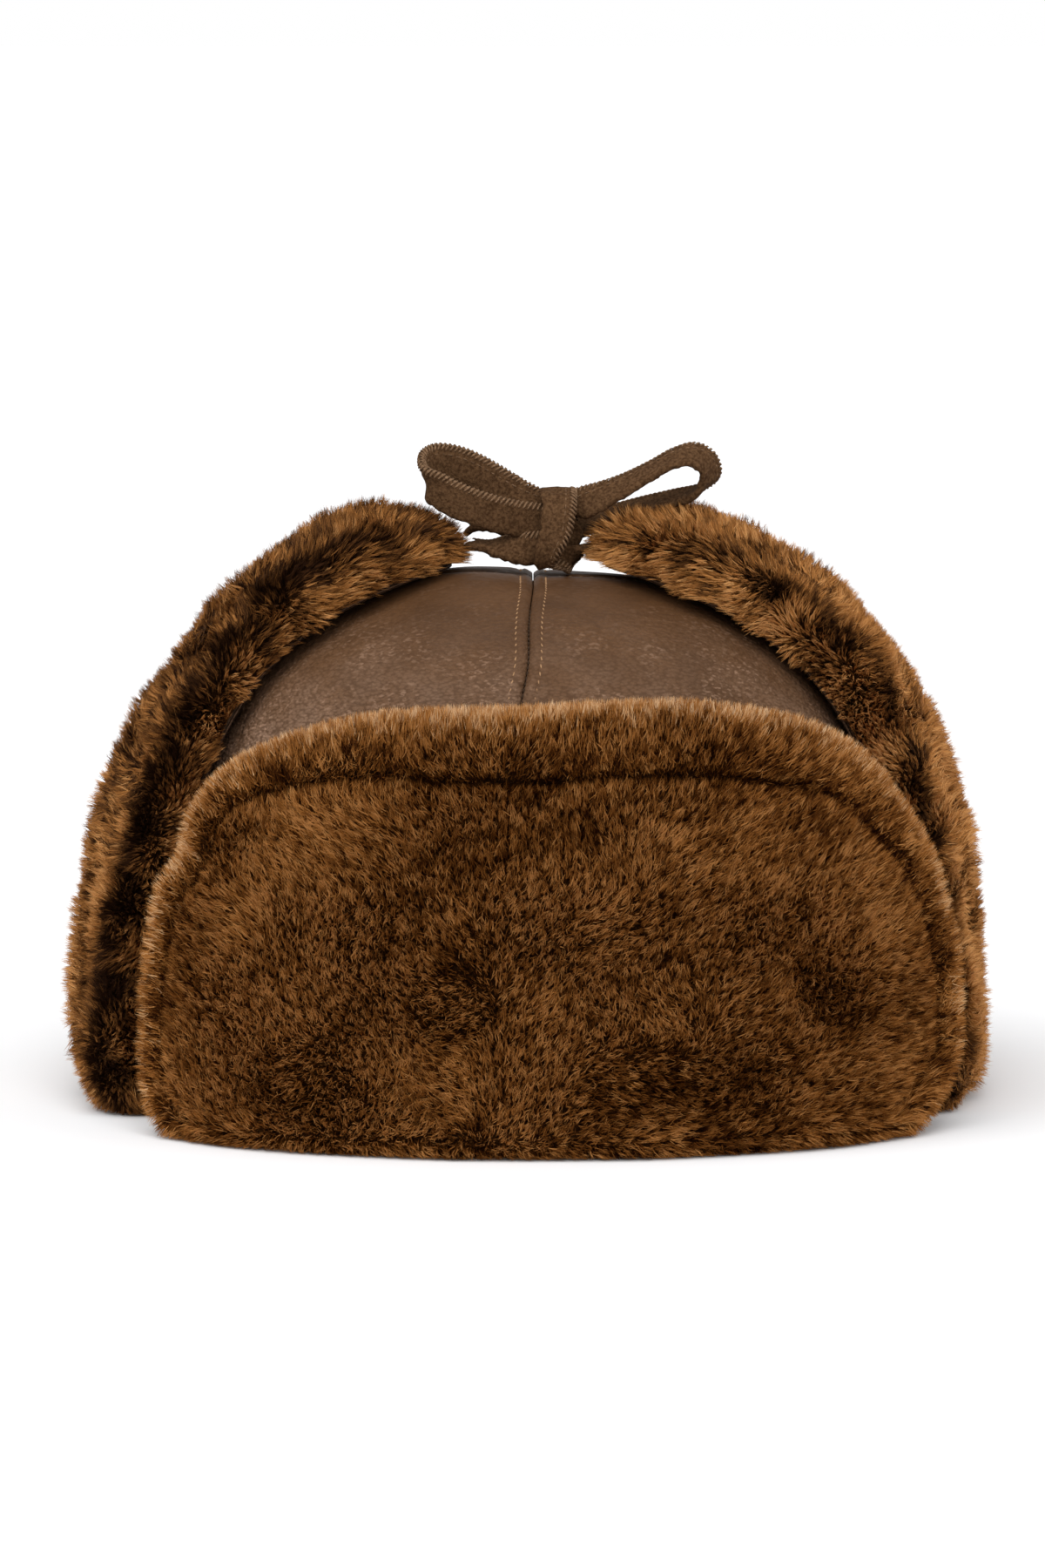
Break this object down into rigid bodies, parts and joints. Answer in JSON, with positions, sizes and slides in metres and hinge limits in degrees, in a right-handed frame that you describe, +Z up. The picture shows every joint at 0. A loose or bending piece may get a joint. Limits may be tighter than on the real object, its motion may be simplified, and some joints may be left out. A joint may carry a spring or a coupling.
{
  "type": "trapper hat",
  "caption": "Leather trapper hat with a turned-up fur visor, a neck flap and two fur ear flaps folded up over the crown and tied on top with flat laces in a bow.",
  "frame": {"origin": "middle of the rim's underside, on the surface the hat stands on", "axes": "+Z up through the crown, front (visor) towards -Y, +X to the right seen from the front"},
  "size_m": [0.2447, 0.273, 0.1696],
  "materials": {
    "nappa": "smooth brown nappa with a fine grain, satin",
    "flap_leather": "brown leather side of the shearling, matt",
    "sweatband_leather": "thin smooth brown leather",
    "interlining": "plain woven stiffener, matt",
    "shearling": "golden brown sheared sheepskin pile with darker roots",
    "lining_fur": "short brown sheepskin pile",
    "lace_suede": "brown suede, matt, overcast along one edge"
  },
  "bodies": {
    "crown": {"crown_front_left_panel": "nappa", "crown_front_right_panel": "nappa", "crown_back_left_panel": "nappa", "crown_back_right_panel": "nappa", "lining_front_left_panel": "lining_fur", "lining_front_right_panel": "lining_fur", "lining_back_left_panel": "lining_fur", "lining_back_right_panel": "lining_fur", "sweatband": "sweatband_leather", "rim_binding": "flap_leather"},
    "visor": {"visor_leather": "flap_leather", "visor_interlining": "interlining", "visor_fur": "shearling"},
    "neck_flap": {"neck_flap_leather": "flap_leather", "neck_flap_fur": "shearling"},
    "left_flap": {"left_flap_leather": "flap_leather", "left_flap_fur": "shearling"},
    "left_flap_tip": {"left_flap_tip_leather": "flap_leather", "left_flap_tip_fur": "shearling", "left_lace": "lace_suede"},
    "right_flap": {"right_flap_leather": "flap_leather", "right_flap_fur": "shearling"},
    "right_flap_tip": {"right_flap_tip_leather": "flap_leather", "right_flap_tip_fur": "shearling", "right_lace": "lace_suede"}
  },
  "joints": [
    {"name": "visor_fold", "type": "hinge", "parent": "crown", "child": "visor", "pos_m": [0, -0.1165, 0.0008], "axis": [1, 0, 0], "range_deg": [0, 60]},
    {"name": "neck_flap_fold", "type": "hinge", "parent": "crown", "child": "neck_flap", "pos_m": [0, 0.1165, 0.0008], "axis": [-1, 0, 0], "range_deg": [0, 120]},
    {"name": "left_flap_fold", "type": "hinge", "parent": "crown", "child": "left_flap", "pos_m": [-0.1055, 0, 0.0008], "axis": [0, -1, 0], "range_deg": [0, 165], "deforming": ["left_lace"]},
    {"name": "left_flap_bend", "type": "hinge", "parent": "left_flap", "child": "left_flap_tip", "pos_m": [-0.10666, 0, 0.09894], "axis": [0, -1, 0], "range_deg": [0, 56]},
    {"name": "right_flap_fold", "type": "hinge", "parent": "crown", "child": "right_flap", "pos_m": [0.1055, 0, 0.0008], "axis": [0, 1, 0], "range_deg": [0, 165], "deforming": ["right_lace"]},
    {"name": "right_flap_bend", "type": "hinge", "parent": "right_flap", "child": "right_flap_tip", "pos_m": [0.10777, 0, 0.09945], "axis": [0, 1, 0], "range_deg": [0, 56]}
  ],
  "couplings": [
    {"joint": "left_flap_bend", "follows": "left_flap_fold", "ratio": 0.33},
    {"joint": "right_flap_bend", "follows": "right_flap_fold", "ratio": 0.33}
  ]
}
